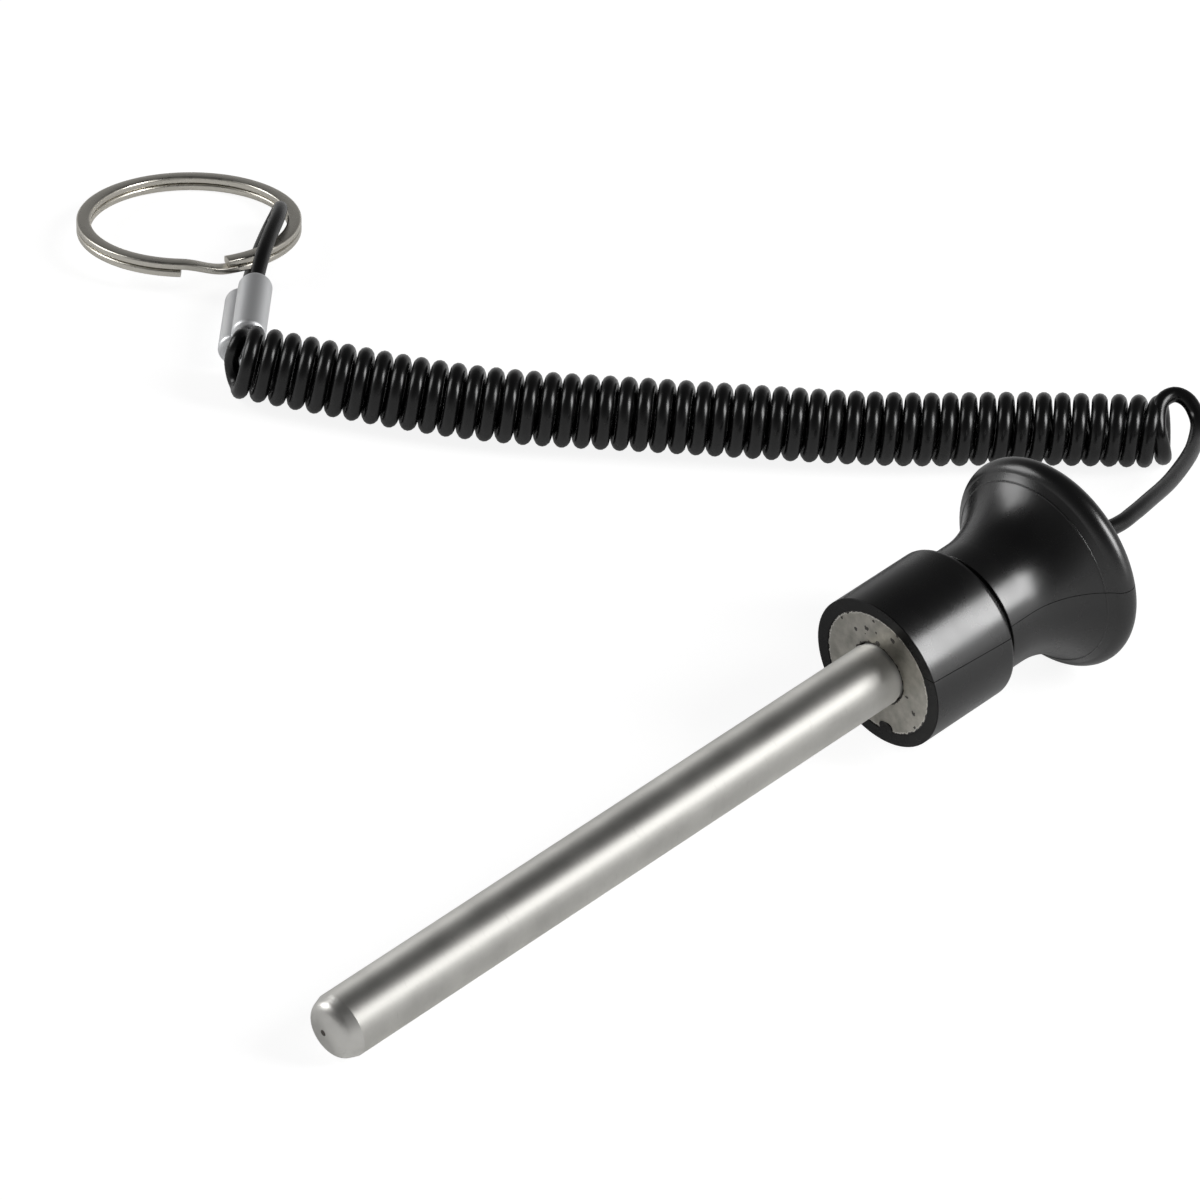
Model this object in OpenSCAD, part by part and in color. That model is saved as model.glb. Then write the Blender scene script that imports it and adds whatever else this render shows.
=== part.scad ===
// Magnetic pin for a weight stack: a steel pin in a moulded pull knob, with a
// ring magnet in the knob's front, and a coiled lanyard that ends in a crimped
// loop and a split ring. It lies on a flat surface (z = 0) as it comes to rest,
// on the start of the pin's straight wall and on the knob's rim.
// X runs along the pin from its nose to the knob, Z is up, millimetres.

/* [Pin] */
// Diameter of the steel pin
pin_d = 10; // [6:0.5:12]
// Length of the pin outside the knob, nose to magnet
pin_len = 112.7; // [60:0.1:160]
// Length of the blunt nose, up to the straight wall
nose_len = 4.6; // [3.5:0.1:8]
// Diameter of the flat on the nose, before its round
nose_flat_d = 6; // [3:0.1:7]
// Radius that rounds the nose
nose_round = 1.6; // [0.5:0.1:2]
// Length of the pin's root inside the knob
root_len = 22; // [16:0.5:26]
// Depth of the shoulder where the turned-down root begins
root_step = 0.2; // [0.1:0.05:0.4]
// Width of the root that shows in front of the magnet
root_shows = 0.5; // [0.2:0.1:1.5]
// Depth of the two grooves that the moulding locks into
root_groove = 0.6; // [0.2:0.1:1.2]
// Width of each of those grooves
root_groove_w = 2.4; // [1:0.1:4]

/* [Knob] */
// Diameter of the sleeve round the magnet
sleeve_d = 25; // [22:0.5:30]
// Length of the sleeve
sleeve_len = 17; // [12:0.5:24]
// Radius of the sleeve's rear edge
sleeve_round = 1; // [0.2:0.1:2]
// Diameter at the bottom of the groove behind the sleeve
groove_d = 19.6; // [16:0.1:20.5]
// Width of that groove
groove_w = 1.6; // [0.8:0.1:3]
// Diameter of the neck
neck_d = 21; // [17:0.5:21.5]
// Straight length of the neck
neck_len = 4.4; // [1:0.1:7]
// Length of the flare from the neck to the crease at the rim
flare_len = 12; // [8:0.5:18]
// Diameter of the rim
rim_d = 35.2; // [30:0.2:44]
// Radius of the rolled bead along the rim
bead_r = 2.3; // [1.5:0.1:2.6]
// Radius of the shallow dish in the back face
dish_r = 12.5; // [8:0.5:13]
// Depth of that dish
dish_deep = 0.6; // [0.2:0.1:1.2]

/* [Magnet] */
// Diameter of the ring magnet
magnet_d = 20.8; // [18:0.1:21]
// Thickness of the magnet
magnet_t = 5; // [3:0.5:8]
// Gap between the magnet and the pin or the key
magnet_gap = 0.1; // [0.05:0.05:0.3]
// How far the magnet's face lies inside the sleeve's front edge
magnet_inset = 0.1; // [0:0.05:0.5]
// Width of the moulded key that stops the magnet turning
key_w = 2.6; // [1.5:0.1:4]
// How far the key reaches into the magnet
key_deep = 1.45; // [0.8:0.1:2.5]
// Corner radius of the key
key_round = 0.8; // [0.2:0.1:1]

/* [Lanyard] */
// Diameter of the cord
cord_d = 2.6; // [1.5:0.1:3.5]
// Outer diameter of the coil
coil_d = 12.3; // [9:0.1:16]
// Depth of the hole that the cord is fixed in
cord_hole_deep = 12; // [6:0.5:13]
// Length of the crimp ferrule
ferrule_len = 16.8; // [10:0.2:24]
// Outer diameter of each barrel of the ferrule
barrel_d = 5.8; // [4.6:0.1:7]
// Distance between the ferrule's two bores
barrel_pitch = 3.8; // [3:0.1:5]
// Radius of the ferrule's rounded ends
barrel_round = 1; // [0.3:0.1:1.2]

/* [Split ring] */
// Outer diameter of the split ring
ring_d = 38.6; // [30:0.2:50]
// Width of the flat wire across the ring
wire_w = 2.4; // [1.6:0.1:3.5]
// Thickness of one layer of the wire
wire_t = 1.25; // [0.8:0.05:1.8]
// Gap between the two layers
wire_gap = 0.12; // [0.05:0.01:0.3]
// Angle over which the wire changes from one layer to the other
wire_step = 25; // [15:1:40]

/* [Hidden] */
fine = 96;

// Stations along the pin, from the end of the nose
pin_r = pin_d / 2;
face_s = pin_len;
groove_s = face_s + sleeve_len;
neck_s = groove_s + groove_w;
flare_s = neck_s + neck_len;
crease_s = flare_s + flare_len;

// Rim bead, and the flare that is tangent to the neck and meets it in a crease
rim_r = rim_d / 2;
neck_r = neck_d / 2;
crease_angle = 65;
bead_c = [rim_r - bead_r, crease_s + bead_r * sin(crease_angle)];
crease_r = bead_c[0] + bead_r * cos(crease_angle);
flare_h = crease_r - neck_r;
flare_r = (flare_h * flare_h + flare_len * flare_len) / (2 * flare_h);
back_s = bead_c[1] + bead_r;
exit_s = back_s - dish_deep;

// How the pin and knob lie: the nose's wall and the rim both touch z = 0
rest_a = bead_c[0] - pin_r;
rest_b = bead_c[1] - nose_len;
tilt = atan(rest_a / rest_b) + asin(bead_r / norm([rest_a, rest_b]));
rest_z = pin_r * cos(tilt) - nose_len * sin(tilt);
nose_r = nose_flat_d / 2;
end_x = nose_round * cos(tilt) - nose_r * sin(tilt) - nose_round;
rim_x = bead_c[1] * cos(tilt) + bead_c[0] * sin(tilt) + bead_r;
rest_x = -(end_x + rim_x) / 2;
function on_axis(s) = [rest_x + s * cos(tilt), 0, rest_z + s * sin(tilt)];

// Centre of the lying coil, from the knob's end to the ferrule's end
coil_r = coil_d / 2;
coil_route = [[128.1, 25], [112.5, 41], [95.5, 57], [73, 83.5], [56, 104],
              [46, 120.2], [34.2, 143.8]];

// Lead from the knob to the coil, with the coil's opened first turn
lead_route = [[88.6, 0, 17.2], [94, 1.3, 16.4], [100, 3.4, 15.2], [109.2, 7.1, 13],
              [120, 12.6, 10.5], [126.7, 16.9, 9.2], [130.2, 19.8, 9.6], [131.3, 22.8, 11.3],
              [130.4, 25.2, 11.9], [127.7, 25.6, 11.2], [125.2, 23.8, 8.8],
              [125.1, 22.6, 5.6], [126.4, 23.2, 2.8], [127.9, 24.8, 1.45]];

// Strand from the coil into the ferrule, the loop through the split ring and
// back under it
tail_route = [[33.9, 144.3, 1.45], [34.4, 146.2, 2.2], [34.9, 147.2, 4.4], [35.4, 147, 6.5],
              [36.9, 147.4, 7.8], [38.8, 148.5, 7.3]];
loop_route = [[55, 163.8, 6.3], [59, 167, 7.1], [64, 170.8, 7.4], [68.6, 174.4, 7.1],
              [71.8, 177.5, 6.2], [72.9, 179.2, 4.6], [72.6, 180, 2.8], [70.8, 179.5, 1.5],
              [66, 176, 1.43], [61.4, 172.4, 1.43], [57, 168.6, 1.6], [53.5, 165.5, 2.4]];

// Ferrule: it stands on one barrel and leans over
ferrule_heading = 45;
ferrule_roll = 38;
barrel_r = barrel_d / 2;
ferrule_at = [39.5, 150.15];
ferrule_z = barrel_r + barrel_pitch / 2 * cos(ferrule_roll);
function in_ferrule(side, along) =
    let (across = barrel_pitch / 2 * sin(ferrule_roll))
    [ferrule_at[0] + along * cos(ferrule_heading) + side * across * sin(ferrule_heading),
     ferrule_at[1] + along * sin(ferrule_heading) - side * across * cos(ferrule_heading),
     ferrule_z + side * barrel_pitch / 2 * cos(ferrule_roll)];

// Split ring: it lies on the surface at one side and on the cord at the other
ring_c = [60.3, 188.2];
ring_lift = 5.85;
ring_lift_at = -145;
ring_r = ring_d / 2;
ring_t = 2 * wire_t + wire_gap;
ring_z = ring_r * sin(ring_lift) + ring_t / 2 * cos(ring_lift);
ring_end = -134.5;

// Smooth curve through a row of points
function catmull(a, b, c, d, t) =
    0.5 * (2 * b + (c - a) * t + (2 * a - 5 * b + 4 * c - d) * t * t
           + (3 * b - a - 3 * c + d) * t * t * t);
function smooth(p, n) =
    let (last = len(p) - 1)
    concat([for (i = [0 : last - 1], k = [0 : n - 1])
        catmull(p[max(i - 1, 0)], p[i], p[i + 1], p[min(i + 2, last)], k / n)],
        [p[last]]);
function unit(v) = v / norm(v);
function tangent(p, i) = unit(p[min(i + 1, len(p) - 1)] - p[max(i - 1, 0)]);

// Closed solid through a row of rings of n points, each anticlockwise as seen
// from ahead
module swept(rings, n) {
    m = len(rings) / n - 1;
    walls = [for (i = [0 : m - 1], k = [0 : n - 1])
        let (q = (k + 1) % n)
        [i * n + k, (i + 1) * n + k, (i + 1) * n + q, i * n + q]];
    polyhedron(rings, concat([[for (k = [0 : n - 1]) k]], walls,
                             [[for (k = [n - 1 : -1 : 0]) m * n + k]]));
}

// Round tube, swept along points with no twist
module tube(p, r, sides) {
    first = unit(cross(tangent(p, 0), abs(tangent(p, 0)[2]) < 0.9 ? [0, 0, 1] : [1, 0, 0]));
    across = [for (i = 0, n = first; i < len(p);
                   i = i + 1,
                   n = i < len(p) ? unit(n - (n * tangent(p, i)) * tangent(p, i)) : n) n];
    rings = [for (i = [0 : len(p) - 1])
        let (n = across[i], b = cross(tangent(p, i), n))
        for (k = [0 : sides - 1])
            p[i] + r * (cos(360 * k / sides) * n + sin(360 * k / sides) * b)];
    swept(rings, sides);
}

// Moves a shape made along Z, from the end of the nose, to where the pin lies
module lying() {
    translate([rest_x, 0, rest_z]) rotate([0, 90 - tilt, 0]) children();
}

module shaft_profile() {
    root_r = pin_r - root_step;
    shoulder_s = face_s - root_shows;
    reach = norm([pin_r - nose_r, nose_len - nose_round]);
    turn = atan2(nose_len - nose_round, pin_r - nose_r) - acos(nose_round / reach);
    root_s = face_s + root_len;
    difference() {
        union() {
            translate([nose_r, nose_round]) circle(r = nose_round, $fn = fine);
            polygon([[0, 0], [nose_r, 0], [nose_r, nose_round],
                     [nose_r + nose_round * cos(turn), nose_round + nose_round * sin(turn)],
                     [pin_r, nose_len], [pin_r, shoulder_s], [root_r, shoulder_s],
                     [root_r, root_s], [0, root_s]]);
        }
        for (k = [1, 2]) translate([root_r - root_groove, root_s - 2 * k * root_groove_w])
            square([root_groove + 1, root_groove_w]);
        translate([-pin_d, 0]) square([pin_d, root_s + 1]);
    }
}

module pin_shaft() {
    color("gainsboro") lying() rotate_extrude($fn = fine) shaft_profile();
}

// Key that grows inward from the wall of the magnet's pocket
module key(gap) {
    r = magnet_d / 2;
    w = key_w / 2 + gap;
    inner = r - key_deep - gap;
    c = key_round + gap;
    rotate(-7) union() {
        translate([inner + c, -w]) square([key_deep + 2, 2 * w]);
        translate([inner, c - w]) square([key_deep, 2 * (w - c)]);
        for (side = [-1, 1]) translate([inner + c, side * (w - c)]) circle(r = c, $fn = 32);
    }
}

module ring_magnet() {
    color("darkgray") lying() translate([0, 0, face_s + magnet_inset]) difference() {
        cylinder(d = magnet_d, h = magnet_t, $fn = fine);
        translate([0, 0, -1])
            cylinder(r = pin_r + magnet_gap, h = magnet_t + 2, $fn = fine);
        translate([0, 0, -1]) linear_extrude(magnet_t + 2) key(magnet_gap);
    }
}

module knob_profile() {
    sleeve_r = sleeve_d / 2;
    difference() {
        union() {
            translate([0, face_s]) square([sleeve_r, sleeve_len - sleeve_round]);
            translate([0, face_s]) square([sleeve_r - sleeve_round, sleeve_len]);
            translate([sleeve_r - sleeve_round, groove_s - sleeve_round])
                circle(r = sleeve_round, $fn = 48);
            translate([0, groove_s - 1]) square([groove_d / 2, groove_w + 2]);
            translate([0, neck_s]) square([neck_r, flare_s - neck_s + 0.01]);
            difference() {
                translate([0, flare_s]) square([crease_r, flare_len]);
                translate([neck_r + flare_r, flare_s]) circle(r = flare_r, $fn = 4 * fine);
            }
            translate(bead_c) circle(r = bead_r, $fn = fine);
            translate([0, crease_s - 1]) square([bead_c[0], back_s - crease_s + 1]);
        }
        translate([-1, exit_s]) square([dish_r + 1, dish_deep + 1]);
        translate([-rim_d, 0]) square([rim_d, back_s + 1]);
    }
}

module knob() {
    color([0.08, 0.08, 0.085]) lying() difference() {
        rotate_extrude($fn = fine) knob_profile();
        translate([0, 0, face_s - 1]) linear_extrude(magnet_inset + magnet_t + 1) difference() {
            circle(d = magnet_d, $fn = fine);
            key(0);
        }
        rotate_extrude($fn = fine) shaft_profile();
        translate([0, 0, exit_s - cord_hole_deep])
            cylinder(d = cord_d, h = cord_hole_deep + 1, $fn = 48);
    }
}

module cord_lead() {
    inside = [for (d = [cord_hole_deep, 6, 0.2, -5]) on_axis(exit_s - d)];
    color([0.06, 0.06, 0.065]) tube(smooth(concat(inside, lead_route), 2), cord_d / 2 + 0.06, 8);
}

module cord_coil() {
    route = [for (p = coil_route) [p[0], p[1], coil_r]];
    color([0.07, 0.07, 0.075]) tube(smooth(route, 4), coil_r, 24);
}

module cord_loop() {
    held = [for (d = [0, ferrule_len / 2, ferrule_len]) in_ferrule(1, d)];
    back = [for (d = [ferrule_len, ferrule_len / 2, -1]) in_ferrule(-1, d)];
    color([0.06, 0.06, 0.065])
        tube(smooth(concat(tail_route, held, loop_route, back), 2), cord_d / 2 + 0.06, 8);
}

module barrel() {
    rotate_extrude($fn = 64) {
        square([barrel_r - barrel_round, ferrule_len]);
        translate([0, barrel_round]) square([barrel_r, ferrule_len - 2 * barrel_round]);
        for (z = [barrel_round, ferrule_len - barrel_round])
            intersection() {
                translate([barrel_r - barrel_round, z]) circle(r = barrel_round, $fn = 48);
                square([barrel_r, ferrule_len]);
            }
    }
}

module crimp_ferrule() {
    color("silver") translate([ferrule_at[0], ferrule_at[1], ferrule_z])
        rotate([0, 0, ferrule_heading]) rotate([0, 90, 0]) rotate([0, 0, ferrule_roll])
            difference() {
                for (side = [-1, 1]) translate([side * barrel_pitch / 2, 0, 0]) barrel();
                for (side = [-1, 1]) translate([side * barrel_pitch / 2, 0, -1])
                    cylinder(d = cord_d, h = ferrule_len + 2, $fn = 48);
            }
}

// Height of the wire's middle, for an angle that runs through two turns
function layer(a) =
    let (h = (wire_t + wire_gap) / 2, start = 360 - wire_step)
    a < start ? h : a < 360 ? h * cos(180 * (a - start) / wire_step) : -h;

module split_ring() {
    steps = 120;
    turns = 720 - wire_step;
    c = 0.28;
    mid = ring_r - wire_w / 2;
    w = wire_w / 2;
    t = wire_t / 2;
    flat_wire = [[-w, t - c], [c - w, t], [w - c, t], [w, t - c],
                 [w, c - t], [w - c, -t], [c - w, -t], [-w, c - t]];
    rings = [for (i = [0 : steps])
        let (a = turns * i / steps, g = ring_end + wire_step + a)
        for (q = flat_wire)
            [(mid + q[0]) * cos(g), (mid + q[0]) * sin(g), layer(a) + q[1]]];
    color("silver") translate([ring_c[0], ring_c[1], ring_z])
        rotate([0, 0, ring_lift_at]) rotate([0, -ring_lift, 0]) rotate([0, 0, -ring_lift_at])
            swept(rings, len(flat_wire));
}

pin_shaft();
ring_magnet();
knob();
cord_lead();
cord_coil();
cord_loop();
crimp_ferrule();
split_ring();
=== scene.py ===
"""Looks of the weight stack pin: cord, split ring, pin, materials, floor, light and camera."""
import math

import bpy
from mathutils import Matrix, Vector


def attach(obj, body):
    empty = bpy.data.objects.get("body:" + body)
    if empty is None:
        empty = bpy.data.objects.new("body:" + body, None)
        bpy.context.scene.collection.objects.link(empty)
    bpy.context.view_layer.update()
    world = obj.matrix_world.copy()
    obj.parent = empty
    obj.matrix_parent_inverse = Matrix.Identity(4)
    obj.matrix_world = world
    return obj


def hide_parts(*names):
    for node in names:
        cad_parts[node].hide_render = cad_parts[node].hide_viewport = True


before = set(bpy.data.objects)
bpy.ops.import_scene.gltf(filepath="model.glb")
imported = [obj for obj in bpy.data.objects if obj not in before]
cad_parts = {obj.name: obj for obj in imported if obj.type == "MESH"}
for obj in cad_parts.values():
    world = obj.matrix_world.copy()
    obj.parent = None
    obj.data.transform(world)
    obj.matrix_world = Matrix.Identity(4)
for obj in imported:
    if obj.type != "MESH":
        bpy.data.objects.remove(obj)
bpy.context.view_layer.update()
MM = 0.001

# ---------------------------------------------------------------- places that part.scad settles
TILT = math.radians(4.9634)           # the pin's rise from its nose to the knob
AXIS = Vector((math.cos(TILT), 0, math.sin(TILT)))
NOSE = Vector((-76.2905, 0, 4.5833)) * MM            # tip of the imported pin, on its axis
EXIT = NOSE + AXIS * 151.48 * MM      # where the cord leaves the knob
FACE = 112.7                          # millimetres from the tip to the knob's front
SLEEVE_LEN = 17                       # millimetres, and so is the groove behind the sleeve
GROOVE_LEN = 1.6


def rows(*pts):
    """Vectors in metres from points in millimetres."""
    return [Vector(p) * MM for p in pts]


def add(name, data):
    """A new object with this data, linked into the scene."""
    ob = bpy.data.objects.new(name, data)
    bpy.context.collection.objects.link(ob)
    return ob


# ---------------------------------------------------------------- camera, solved from the photo
cam = add("camera", bpy.data.cameras.new("camera"))
look = Vector((0.573846, 0.604050, -0.553013)).normalized()
right = Vector((0.725001, -0.688748, 0)).normalized()
up = right.cross(look).normalized()
cam.matrix_world = (Matrix.Translation(Vector((-0.50251, -0.50667, 0.51743)))
                    @ Matrix((right, up, -look)).transposed().to_4x4())
cam.data.sensor_width = 36
cam.data.lens = 179.447
cam.data.clip_start = 0.01
cam.data.clip_end = 20
bpy.context.scene.camera = cam

# ---------------------------------------------------------------- the cord
CORD = 2.6 * MM                       # cord diameter
TURN = 4.85 * MM                      # radius of a coil turn, at the middle of the cord
TURNS = 49
PER_TURN = 24                         # points to a turn
PER_STRETCH = 5                       # points between two points of a route
COIL_Z = 6.15                         # millimetres up to the coil's middle, so that it lies on z = 0
CLOSER = 0.033                        # how much closer the turns stand at the knob's end
FIRST_TURN = 0.955                    # the first turn's share of the radius TURN
TURN_GROWS = 0.06                     # how much greater the last turn's share is
FRONT = Vector((-0.689, -0.725, 0)).normalized()     # level direction across every turn
KNOBWARD = Vector((0.725, -0.689, 0)).normalized()
LEAN = 0.8 * MM                       # how far the last turns' tops lean towards the knob
LEAN_FROM = 0.6                       # share of the coil where the leaning starts
YAW = math.radians(12)                # how far the first turn is swung open
YAW_TO = 0.06                         # share of the coil where the swing has died out


def catmull(pts, n):
    """Points on a smooth curve through pts, n to each stretch."""
    out = []
    last = len(pts) - 1
    for i in range(last):
        a, b, c, d = pts[max(i - 1, 0)], pts[i], pts[i + 1], pts[min(i + 2, last)]
        for k in range(n):
            t = k / n
            out.append(0.5 * (2 * b + (c - a) * t + (2 * a - 5 * b + 4 * c - d) * t * t
                              + (3 * b - a - 3 * c + d) * t ** 3))
    return out + [pts[last]]


def helix(centre):
    """A left-handed row of turns round the centre line, from the bottom to the bottom.

    The turns stand closer and a little smaller at the knob's end. They face the same way where
    the coil curves, because each turn slides along the next. The first ones are swung open and
    the last ones lean.
    """
    fine = catmull(centre, 40)            # close enough for its length to be measured in straight bits
    run = [0.0]
    for a, b in zip(fine, fine[1:]):
        run.append(run[-1] + (b - a).length)
    out = []
    j = 0
    total = TURNS * PER_TURN
    for k in range(total + 1):
        share = k / total
        want = run[-1] * share * (1 - CLOSER + CLOSER * share * share)
        while j < len(run) - 2 and run[j + 1] < want:
            j += 1
        middle = fine[j].lerp(fine[j + 1], (want - run[j]) / (run[j + 1] - run[j]))
        angle = math.pi + 2 * math.pi * TURNS * share
        r = TURN * (FIRST_TURN + TURN_GROWS * share)
        lean = LEAN * max(0, share - LEAN_FROM) / (1 - LEAN_FROM) * math.cos(angle)
        yaw = YAW * max(0, 1 - share / YAW_TO)
        front = FRONT * math.cos(yaw) - KNOBWARD * math.sin(yaw)
        height = Vector((0, 0, math.cos(angle) * r - (TURN - r)))
        out.append(middle + height + front * math.sin(angle) * r + KNOBWARD * lean)
    return out


FERRULE_AT = (39.5, 150.15)           # the ferrule's coil end, and below its size, in millimetres
FERRULE_LEN = 16.8
BARREL_R = 2.9
HALF_PITCH = 1.9                      # half the distance between its two bores
HEADING = math.radians(45)
ROLL = math.radians(38)               # it stands on one barrel and leans over


def in_ferrule(side, along):
    """A point on a bore's axis: side is 1 for the upper bore, -1 for the lower one."""
    across = side * HALF_PITCH * math.sin(ROLL)
    return Vector((FERRULE_AT[0] + along * math.cos(HEADING) + across * math.sin(HEADING),
                   FERRULE_AT[1] + along * math.sin(HEADING) - across * math.cos(HEADING),
                   BARREL_R + (1 + side) * HALF_PITCH * math.cos(ROLL))) * MM


# from inside the knob to the coil, with the opened first turn
lead_route = [EXIT - AXIS * d * MM for d in (12, 6, 0.2, -5)] + rows(
    (88.6, 0, 17.2), (94, 1.3, 16.4), (100, 3.4, 15.2), (109.2, 7.1, 13), (120, 12.6, 10.5),
    (126.7, 16.9, 9.2), (130.2, 19.8, 9.6), (131.3, 22.8, 11.3), (130.4, 25.2, 11.9),
    (127.7, 25.6, 11.2), (125.2, 23.8, 8.8), (125.1, 22.6, 5.6), (126.4, 23.2, 2.8))
coil_route = rows(*((x, y, COIL_Z) for x, y in (
    (128.1, 25), (112.5, 41), (95.5, 57), (73, 83.5), (56, 104), (46, 120.2), (34.2, 143.8))))
# from the coil up to the ferrule, and through the split ring and back
tail_route = rows((34.4, 146.2, 2.2), (34.9, 147.2, 4.4), (35.4, 147, 6.5), (36.9, 147.4, 7.8),
                  (38.8, 148.5, 7.3))
loop_route = rows((55, 163.8, 6.3), (59, 167, 7.1), (64, 170.8, 7.4), (68.6, 174.4, 7.1),
                  (71.8, 177.5, 6.2), (72.9, 179.2, 4.6), (72.6, 180, 2.8), (70.8, 179.5, 1.5),
                  (66, 176, 1.43), (61.4, 172.4, 1.43), (57, 168.6, 1.6), (53.5, 165.5, 2.4))
way_in = [in_ferrule(1, d) for d in (0, FERRULE_LEN / 2, FERRULE_LEN)]
way_back = [in_ferrule(-1, d) for d in (FERRULE_LEN, FERRULE_LEN / 2, -1)]

# each end takes its direction from two points of the coil, and the stretch between them is cut off
coil = helix(coil_route)
start = catmull(lead_route + [coil[0], coil[2]], PER_STRETCH)[:-PER_STRETCH]
end = catmull([coil[-3], coil[-1]] + tail_route + way_in + loop_route + way_back,
              PER_STRETCH)[PER_STRETCH:]
path = start + coil[1:-1] + end


def tube(name, pts, radius):
    """A round tube along pts, closed at both ends."""
    data = bpy.data.curves.new(name, "CURVE")
    data.dimensions = "3D"
    spline = data.splines.new("POLY")
    spline.points.add(len(pts) - 1)
    for p, q in zip(spline.points, pts):
        p.co = (*q, 1)
        p.radius = radius
    spline.use_smooth = True
    data.bevel_depth = 1
    data.bevel_resolution = 5
    data.use_fill_caps = True
    return add(name, data)


cord = tube("lanyard_cord", path, CORD / 2)
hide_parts("cord_lead", "cord_coil", "cord_loop")
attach(cord, "pin")

# ---------------------------------------------------------------- the split ring, in millimetres
RING_AT = (60.3, 188.2)
RING_R = 19.3                         # outer radius
RING_LIFT = math.radians(5.85)        # how far the ring tilts, where it lies on the cord
RING_LIFT_AT = math.radians(-145)     # heading of its raised side
RING_END = -134.5                     # degrees round the ring to the end of its lower layer
RING_STEPS = 360
WIRE_W = 2.4
WIRE_T = 1.25
WIRE_ROUND = 0.38                     # radius of the wire's corners
WIRE_GAP = 0.12                       # between the two layers
WIRE_STEP = 25                        # degrees over which the wire steps to the lower layer
ring_z = RING_R * math.sin(RING_LIFT) + (WIRE_T + WIRE_GAP / 2) * math.cos(RING_LIFT)
ring_place = (Matrix.Translation(Vector((*RING_AT, ring_z)))
              @ Matrix.Rotation(RING_LIFT_AT, 4, "Z") @ Matrix.Rotation(-RING_LIFT, 4, "Y")
              @ Matrix.Rotation(-RING_LIFT_AT, 4, "Z"))


def wire_height(a):
    """Height of the wire's middle, for an angle that runs through two turns."""
    high = (WIRE_T + WIRE_GAP) / 2
    step_at = 360 - WIRE_STEP
    if a < step_at:
        return high
    return high * math.cos(math.pi * (a - step_at) / WIRE_STEP) if a < 360 else -high


def wire_section():
    """Outline of the flat wire with rounded corners, clockwise seen from ahead."""
    out = []
    for side, above, first in ((1, 1, 90), (1, -1, 0), (-1, -1, -90), (-1, 1, -180)):
        for t in (0, 22.5, 45, 67.5, 90):
            a = math.radians(first - t)
            out.append((side * (WIRE_W / 2 - WIRE_ROUND) + WIRE_ROUND * math.cos(a),
                        above * (WIRE_T / 2 - WIRE_ROUND) + WIRE_ROUND * math.sin(a)))
    return out


def swept(name, sections):
    """A closed solid through a row of sections of equally many points."""
    n = len(sections[0])
    faces = [tuple(range(n))]
    for i in range(len(sections) - 1):
        for k in range(n):
            q = (k + 1) % n
            faces.append((i * n + k, (i + 1) * n + k, (i + 1) * n + q, i * n + q))
    faces.append(tuple((len(sections) - 1) * n + k for k in reversed(range(n))))
    mesh = bpy.data.meshes.new(name)
    mesh.from_pydata([p for section in sections for p in section], [], faces)
    return add(name, mesh)


sections = []
for step in range(RING_STEPS + 1):
    a = (720 - WIRE_STEP) * step / RING_STEPS
    g = math.radians(RING_END + WIRE_STEP + a)
    wire_r = RING_R - WIRE_W / 2
    sections.append([ring_place @ Vector(((wire_r + x) * math.cos(g), (wire_r + x) * math.sin(g),
                                          wire_height(a) + y)) * MM for x, y in wire_section()])
ring = swept("key_ring", sections)
ring.data.shade_smooth()
ring.data.set_sharp_from_angle(angle=math.radians(40))         # the wire's cut ends stay crisp
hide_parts("split_ring")
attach(ring, "ring")

# ---------------------------------------------------------------- the pin, in millimetres
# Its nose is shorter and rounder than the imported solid's, and lies inside it
PIN_R = 5
NOSE_END = 2.4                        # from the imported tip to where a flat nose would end
NOSE_LEN = 2.7                        # from there to the straight wall
NOSE_FLAT = 2.5                       # radius of the middle of the nose's rounding
NOSE_ROUND = 2.2
ROUND_END = math.radians(72)          # the rounding stops here, and a short cone joins the wall
ROUND_PARTS = 8
DOME = 9                              # radius of the slightly domed end
DOME_PARTS = 4
ROOT_R = 4.8                          # the turned-down root, inside the knob
ROOT_SHOWS = 0.5                      # how much of it shows in front of the knob
ROOT_END = 134.7
ROOT_GROOVE = 0.6                     # depth of the root's two grooves
ROOT_GROOVE_W = 2.4


def lathe(name, outline, sides=96):
    """A solid of revolution round the pin's axis, from (along, radius) points in millimetres."""
    side = Vector((0, 1, 0))
    over = AXIS.cross(side)
    verts = [NOSE + AXIS * outline[0][0] * MM]
    faces = []
    for s, r in outline:
        for k in range(sides):
            a = 2 * math.pi * k / sides
            verts.append(NOSE + (AXIS * s + (side * math.cos(a) + over * math.sin(a)) * r) * MM)
    verts.append(NOSE + AXIS * outline[-1][0] * MM)
    last = len(verts) - 1
    for k in range(sides):
        q = (k + 1) % sides
        faces.append((0, 1 + q, 1 + k))
        for i in range(len(outline) - 1):
            here = 1 + i * sides
            there = here + sides
            faces.append((here + k, here + q, there + q, there + k))
        faces.append((last, last - sides + k, last - sides + q))
    mesh = bpy.data.meshes.new(name)
    mesh.from_pydata(verts, [], faces)
    mesh.validate()
    return add(name, mesh)


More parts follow.
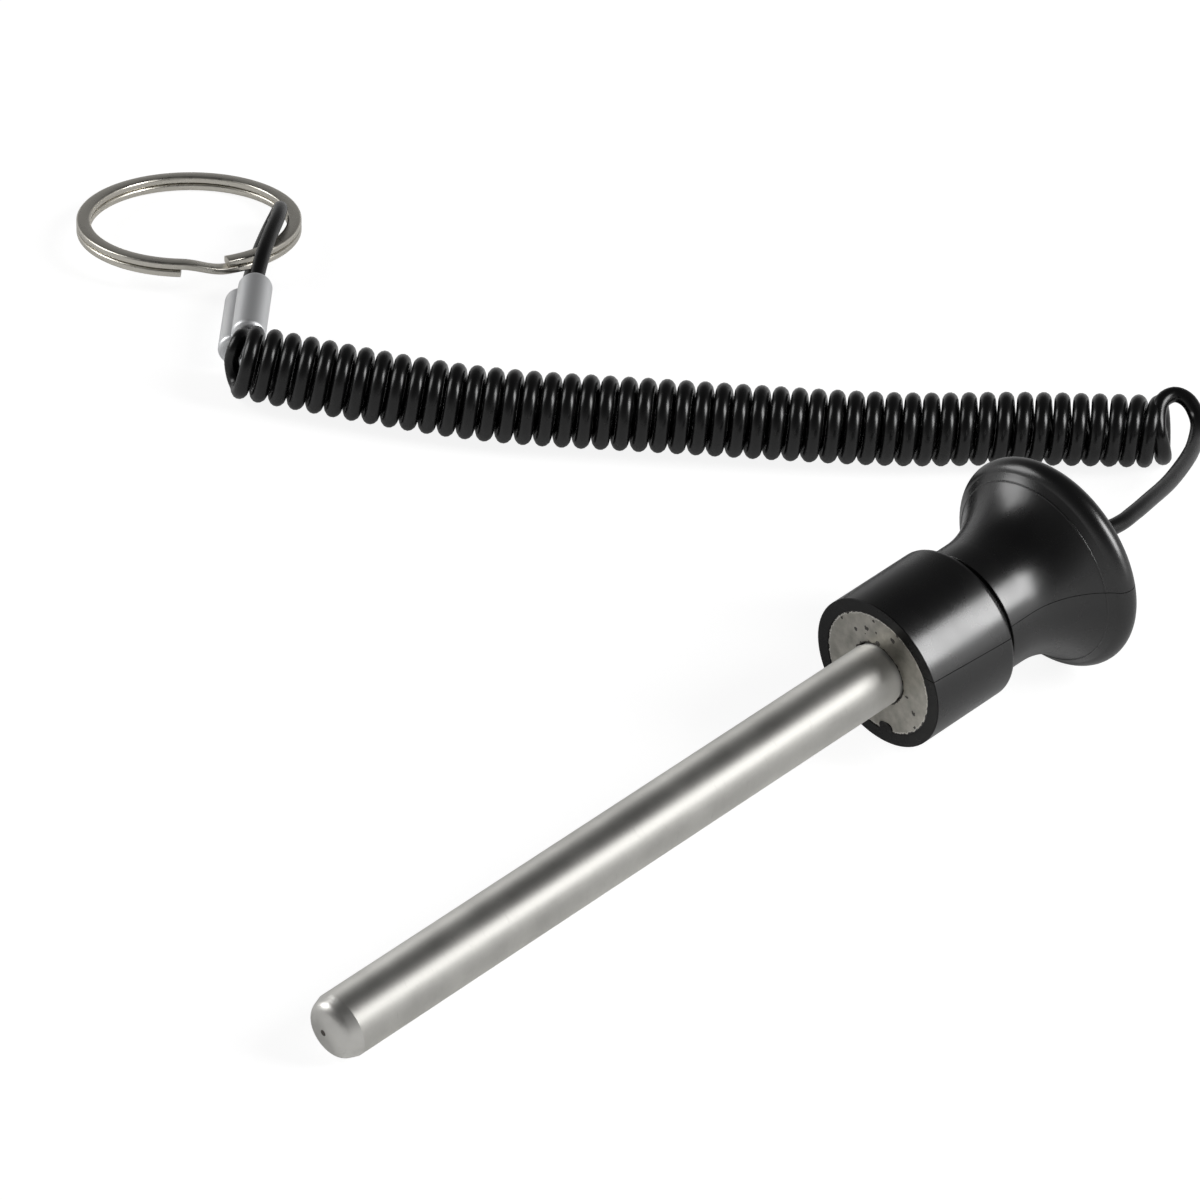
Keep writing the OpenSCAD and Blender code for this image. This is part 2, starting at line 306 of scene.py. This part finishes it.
dome_end = math.asin(NOSE_FLAT / (DOME - NOSE_ROUND))
dome_at = NOSE_END + NOSE_ROUND + (DOME - NOSE_ROUND) * math.cos(dome_end)
outline = []
for k in range(1, DOME_PARTS):
    t = dome_end * k / DOME_PARTS
    outline.append((dome_at - DOME * math.cos(t), DOME * math.sin(t)))
for k in range(ROUND_PARTS + 1):
    t = dome_end + (ROUND_END - dome_end) * k / ROUND_PARTS
    outline.append((NOSE_END + NOSE_ROUND * (1 - math.cos(t)), NOSE_FLAT + NOSE_ROUND * math.sin(t)))
outline += [(NOSE_END + NOSE_LEN, PIN_R), (FACE - ROOT_SHOWS, PIN_R), (FACE - ROOT_SHOWS, ROOT_R)]
for k in (2, 1):
    groove_at = ROOT_END - 2 * k * ROOT_GROOVE_W
    outline += [(groove_at, ROOT_R), (groove_at, ROOT_R - ROOT_GROOVE),
                (groove_at + ROOT_GROOVE_W, ROOT_R - ROOT_GROOVE),
                (groove_at + ROOT_GROOVE_W, ROOT_R)]
outline.append((ROOT_END, ROOT_R))
pin = lathe("steel_pin", outline)
pin.data.shade_smooth()
pin.data.set_sharp_from_angle(angle=math.radians(14))          # the nose's edge and the root stay crisp
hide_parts("pin_shaft")
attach(pin, "pin")


# ---------------------------------------------------------------- materials
class Mat:
    """A Principled material, and short ways to add the nodes it needs."""

    def __init__(self, name, colour, rough, metal=0.0, **more):
        self.mat = bpy.data.materials.new(name)
        self.mat.use_nodes = True
        self.nt = self.mat.node_tree
        self.bsdf = self.nt.nodes["Principled BSDF"]
        self.set("Base Color", (*colour, 1))
        self.set("Roughness", rough)
        self.set("Metallic", metal)
        for k, v in more.items():
            self.set(k.replace("_", " "), v)

    def set(self, socket, value):
        self.bsdf.inputs[socket].default_value = value

    def to(self, socket, out):
        self.link(out, self.bsdf.inputs[socket])

    def node(self, kind, **props):
        n = self.nt.nodes.new(kind)
        for k, v in props.items():
            setattr(n, k, v)
        return n

    def link(self, a, b):
        self.nt.links.new(a, b)

    def feed(self, socket, x):
        """Gives a socket a number, a colour or another node's output."""
        if isinstance(x, (int, float)):
            socket.default_value = x
        elif isinstance(x, tuple):
            socket.default_value = (*x, 1)
        else:
            self.link(x, socket)

    def value(self, a, b, op, c=None):
        """The result of a math node with two inputs, or with three."""
        n = self.node("ShaderNodeMath", operation=op)
        for socket, x in zip(n.inputs, (a, b) if c is None else (a, b, c)):
            self.feed(socket, x)
        return n.outputs[0]

    def mix(self, fac, a, b):
        """Colour a, and b as far as fac goes to 1. A colour mix has them at sockets 6 and 7."""
        n = self.node("ShaderNodeMix", data_type="RGBA")
        for i, x in ((0, fac), (6, a), (7, b)):
            self.feed(n.inputs[i], x)
        return n.outputs[2]

    def ramp(self, fac, *stops):
        """A colour ramp with stops of (position, grey or colour)."""
        n = self.node("ShaderNodeValToRGB")
        elements = n.color_ramp.elements
        while len(elements) < len(stops):
            elements.new(0.5)
        for element, (pos, col) in zip(elements, stops):
            element.position = pos
            element.color = (*col, 1) if isinstance(col, tuple) else (col, col, col, 1)
        self.link(fac, n.inputs["Fac"])
        return n.outputs["Color"]

    def place(self):
        return self.node("ShaderNodeTexCoord").outputs["Object"]

    def pin_place(self):
        """Object place turned so that X runs along the pin from its nose."""
        n = self.node("ShaderNodeMapping", vector_type="TEXTURE")
        n.inputs["Location"].default_value = NOSE
        n.inputs["Rotation"].default_value = (0, -TILT, 0)
        self.link(self.place(), n.inputs["Vector"])
        return n.outputs[0]

    def split(self, vector):
        """The X, Y and Z outputs of a vector."""
        n = self.node("ShaderNodeSeparateXYZ")
        self.link(vector, n.inputs[0])
        return n.outputs

    def join(self, *parts):
        """A vector from three numbers or outputs."""
        n = self.node("ShaderNodeCombineXYZ")
        for socket, x in zip(n.inputs, parts):
            self.feed(socket, x)
        return n.outputs[0]

    def distance(self, vector, *spot):
        """Distance in metres from a spot given in millimetres."""
        n = self.node("ShaderNodeVectorMath", operation="DISTANCE")
        self.link(vector, n.inputs[0])
        n.inputs[1].default_value = tuple(c * MM for c in spot)
        return n.outputs["Value"]

    def noise(self, vector, scale, detail=3.0, rough=0.5, stretch=None):
        if stretch:
            m = self.node("ShaderNodeMapping")
            m.inputs["Scale"].default_value = stretch
            self.link(vector, m.inputs["Vector"])
            vector = m.outputs[0]
        n = self.node("ShaderNodeTexNoise")
        n.inputs["Scale"].default_value = scale
        n.inputs["Detail"].default_value = detail
        n.inputs["Roughness"].default_value = rough
        self.link(vector, n.inputs["Vector"])
        return n.outputs["Fac"]

    def bump(self, height, strength, distance):
        n = self.node("ShaderNodeBump")
        n.inputs["Strength"].default_value = strength
        n.inputs["Distance"].default_value = distance
        self.link(height, n.inputs["Height"])
        self.to("Normal", n.outputs[0])


def dress(ob, m):
    """Gives an object this one material."""
    ob.data.materials.clear()
    ob.data.materials.append(m.mat)


def satin_steel():
    """Ground steel with streaks and one small pit in the nose."""
    m = Mat("satin_steel", (0.62, 0.61, 0.585), 0.5, 1.0)
    p = m.pin_place()
    grain = m.noise(p, 1.0, 3.0, 0.65, (4200, 260, 260))
    cloud = m.noise(p, 120, 4.0, 0.6)
    streaks = m.noise(p, 1.0, 4.0, 0.7, (1700, 420, 420))
    pale = m.ramp(cloud, (0.3, (0.66, 0.65, 0.62)), (0.7, (0.8, 0.79, 0.755)))
    tone = m.mix(m.value(streaks, 0.6, "SUBTRACT"), pale, (0.3, 0.29, 0.27))
    from_pit = m.value(cloud, 0.8 * MM, "MULTIPLY_ADD", m.distance(p, 2, 0.1, 0.5))
    m.to("Base Color", m.mix(m.value(from_pit, 0.85 * MM, "LESS_THAN"), tone, (0.12, 0.11, 0.1)))
    # circumferential grinding marks spread a reflection along the wall, but not on the nose
    wall = m.value(m.split(p)["X"], (NOSE_END + NOSE_LEN) * MM, "GREATER_THAN")
    m.to("Anisotropic", m.value(wall, 0.75, "MULTIPLY"))
    m.to("Roughness", m.value(wall, 0.2, "MULTIPLY_ADD", m.value(cloud, 0.16, "MULTIPLY_ADD", 0.31)))
    # the tangent is the pin's axis, tipped a hair so that the nose's middle has one too
    m.to("Tangent", m.join(*(AXIS + Vector((0, 0.01, 0)))))
    m.bump(grain, 0.5, 0.00004)
    return m


def magnet_plating():
    """Dull plating with dark specks, painted shade round the bore, and a painted highlight on the rim
    inside a broken dark edge of painted shade.
    """
    m = Mat("magnet_plating", (0.5, 0.48, 0.44), 0.36, 1.0)
    p = m.pin_place()
    cloud = m.noise(p, 420, 4.0, 0.6)
    ragged = m.noise(p, 1500, 4.0, 0.7)
    at = m.split(p)
    face = m.join(0, at["Y"], at["Z"])

    def from_spot(y, z):
        """Distance on the face from a spot, with a ragged edge."""
        return m.value(ragged, 1.2 * MM, "MULTIPLY_ADD", m.distance(face, 0, y, z))

    out = from_spot(0, 0)
    # painted shade: a dark ragged band round the bore, where the pin meets the magnet, and another
    # along the outer edge, where the magnet meets the knob; the specks added below are the plating's
    # own marks
    specks_and_painted_gap_shade = m.value(m.value(out, 10.85 * MM, "GREATER_THAN"),
                   m.value(out, 5.9 * MM, "LESS_THAN"), "MAXIMUM")
    for y, z, size in ((2, 7.3, 0.95), (4.3, 6, 0.9), (-3.4, 7.7, 1), (0, 7.4, 0.8),
                       (7.3, 6.7, 0.8), (0.5, 9.5, 0.8), (-7.1, -4, 0.95), (-5.8, -1.5, 0.9),
                       (6.2, 8.7, 1.2), (-0.2, 5.6, 1.1), (2.4, 6.2, 0.75), (-4.4, 9.2, 0.9),
                       (-7.4, -6.6, 0.85)):
        specks_and_painted_gap_shade = m.value(specks_and_painted_gap_shade, m.value(from_spot(y, z), size * MM, "LESS_THAN"), "MAXIMUM")
    # painted highlight: a bright thin band just inside the dark outer edge, where the edge's chamfer
    # catches the light
    painted_rim_highlight = m.value(out, 10.68 * MM, "GREATER_THAN")
    tone = m.ramp(cloud, (0.3, (0.34, 0.33, 0.295)), (0.65, (0.56, 0.54, 0.49)))
    tone = m.mix(painted_rim_highlight, tone, (0.75, 0.73, 0.68))
    # the specks and the painted shade in the gaps turn dark and lose their metal
    m.to("Base Color", m.mix(specks_and_painted_gap_shade, tone, (0.05, 0.045, 0.04)))
    m.to("Metallic", m.value(1, specks_and_painted_gap_shade, "SUBTRACT"))
    m.bump(m.noise(p, 2500, 3.0), 0.3, 0.00003)
    return m


def knob_plastic():
    """Gloss black, duller on the sleeve's front, with the mould's parting line towards -Y."""
    m = Mat("knob_plastic", (0.003, 0.003, 0.0032), 0.28)
    p = m.pin_place()
    m.to("Roughness", m.ramp(m.noise(p, 160, 4.0), (0.3, 0.24), (0.75, 0.32)))
    x, y, z = m.split(p)
    # the line slopes on the sleeve, and is level with the axis on the neck and flare
    slope = m.value(x, 0.0592, "MULTIPLY_ADD", z)
    on_sleeve = m.value(m.value(slope, 10.9 * MM, "COMPARE", 0.055 * MM),
                        m.value(x, (FACE + SLEEVE_LEN) * MM, "LESS_THAN"), "MULTIPLY")
    on_neck = m.value(m.value(z, 3.2 * MM, "COMPARE", 0.05 * MM),
                      m.value(x, (FACE + SLEEVE_LEN + GROOVE_LEN) * MM, "GREATER_THAN"), "MULTIPLY")
    parting = m.value(m.value(on_sleeve, on_neck, "MAXIMUM"),
                      m.value(y, 0, "LESS_THAN"), "MULTIPLY")
    behind_front = m.value(x, (FACE + 0.15) * MM, "GREATER_THAN")
    glossy = m.value(behind_front, 0.65, "MULTIPLY_ADD", 0.25)
    m.to("Specular IOR Level", m.value(glossy, m.value(1, parting, "SUBTRACT"), "MULTIPLY"))
    rounded = m.node("ShaderNodeBevel", samples=6)
    rounded.inputs["Radius"].default_value = 0.25 * MM
    m.to("Normal", rounded.outputs[0])
    return m


def cord_plastic():
    m = Mat("cord_plastic", (0.004, 0.004, 0.0042), 0.26, Specular_IOR_Level=0.5)
    m.to("Roughness", m.ramp(m.noise(m.place(), 300, 3.0), (0.3, 0.22), (0.7, 0.3)))
    return m


def ferrule_aluminium():
    m = Mat("ferrule_aluminium", (0.93, 0.94, 0.95), 0.48, 1.0)
    m.bump(m.noise(m.place(), 1800, 3.0), 0.2, 0.00003)
    return m


def ring_nickel():
    m = Mat("ring_nickel", (0.72, 0.69, 0.62), 0.3, 1.0)
    m.to("Roughness", m.ramp(m.noise(m.place(), 700, 4.0), (0.3, 0.24), (0.7, 0.38)))
    return m


dress(pin, satin_steel())
dress(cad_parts["ring_magnet"], magnet_plating())
dress(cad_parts["knob"], knob_plastic())
dress(cord, cord_plastic())
dress(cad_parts["crimp_ferrule"], ferrule_aluminium())
dress(ring, ring_nickel())

# ---------------------------------------------------------------- floor, world and light
FLOOR_HALF = 6                        # half the floor's width, in metres
FLOOR = (0.7, 0.7, 0.7)               # its colour as it lights the part
FLOOR_SEEN = (0.3, 0.3, 0.3)          # its colour to the camera, before the lift to white
FLOOR_LIFT = 0.88
FLOOR_LIFT_REFLECTED = 0.15


def floor_material():
    """A pale diffuse floor, lifted to white where the camera or a reflection sees it."""
    m = bpy.data.materials.new("floor")
    m.use_nodes = True
    nodes, links = m.node_tree.nodes, m.node_tree.links
    nodes.remove(nodes["Principled BSDF"])
    rays = nodes.new("ShaderNodeLightPath")
    tone = nodes.new("ShaderNodeMix")
    tone.data_type = "RGBA"
    tone.inputs[6].default_value = (*FLOOR, 1)
    tone.inputs[7].default_value = (*FLOOR_SEEN, 1)
    links.new(rays.outputs["Is Camera Ray"], tone.inputs[0])
    diffuse = nodes.new("ShaderNodeBsdfDiffuse")
    links.new(tone.outputs[2], diffuse.inputs["Color"])
    lift = None
    for ray, share in (("Is Camera Ray", FLOOR_LIFT), ("Is Glossy Ray", FLOOR_LIFT_REFLECTED),
                       ("Is Transmission Ray", FLOOR_LIFT_REFLECTED)):
        part = nodes.new("ShaderNodeMath")
        part.operation = "MULTIPLY_ADD"
        part.inputs[1].default_value = share
        part.inputs[2].default_value = 0
        links.new(rays.outputs[ray], part.inputs[0])
        if lift:
            links.new(lift, part.inputs[2])
        lift = part.outputs[0]
    emission = nodes.new("ShaderNodeEmission")
    links.new(lift, emission.inputs["Strength"])
    both = nodes.new("ShaderNodeAddShader")
    links.new(diffuse.outputs[0], both.inputs[0])
    links.new(emission.outputs[0], both.inputs[1])
    links.new(both.outputs[0], nodes["Material Output"].inputs["Surface"])
    return m


corners = ((-1, -1), (1, -1), (1, 1), (-1, 1))
mesh = bpy.data.meshes.new("floor")
mesh.from_pydata([(x * FLOOR_HALF, y * FLOOR_HALF, 0) for x, y in corners], [], [(0, 1, 2, 3)])
mesh.materials.append(floor_material())
floor = add("floor", mesh)


def world_light():
    """White to the camera. To all other rays, pale at the horizon and near black overhead."""
    world = bpy.data.worlds.new("world")
    world.use_nodes = True
    nodes, links = world.node_tree.nodes, world.node_tree.links
    split = nodes.new("ShaderNodeSeparateXYZ")
    links.new(nodes.new("ShaderNodeTexCoord").outputs["Generated"], split.inputs[0])
    sky = nodes.new("ShaderNodeValToRGB")
    stops = sky.color_ramp.elements
    stops.new(0.3)
    stops.new(0.6)
    for stop, (height, grey) in zip(stops, ((0, 0.6), (0.3, 0.2), (0.6, 0.08), (1, 0.04))):
        stop.position = height
        stop.color = (grey, grey, grey, 1)
    links.new(split.outputs["Z"], sky.inputs["Fac"])
    seen = nodes.new("ShaderNodeMix")
    seen.data_type = "RGBA"
    seen.inputs[7].default_value = (1, 1, 1, 1)
    links.new(nodes.new("ShaderNodeLightPath").outputs["Is Camera Ray"], seen.inputs[0])
    links.new(sky.outputs["Color"], seen.inputs[6])
    links.new(seen.outputs[2], nodes["Background"].inputs["Color"])
    nodes["Background"].inputs["Strength"].default_value = 1.0
    return world


bpy.context.scene.world = world_light()


def softbox(name, place, wide, high, power):
    """An area lamp that faces the part; sizes in metres, power in watts."""
    data = bpy.data.lights.new(name, "AREA")
    data.shape = "RECTANGLE"
    data.size = wide
    data.size_y = high
    data.energy = power
    ob = add(name, data)
    ob.location = place
    aim = Vector((0.03, 0.07, 0.01)) - Vector(place)
    ob.rotation_euler = aim.to_track_quat("-Z", "Y").to_euler()


softbox("key", (0.56, -0.74, 0.6), 0.42, 0.62, 8)
softbox("key_skirt", (0.6, -0.8, 0.2), 0.5, 0.4, 0.5)
softbox("back", (-0.45, 0.95, 0.55), 0.5, 0.6, 4)

bpy.context.scene.view_settings.view_transform = "Standard"

bpy.context.view_layer.update()
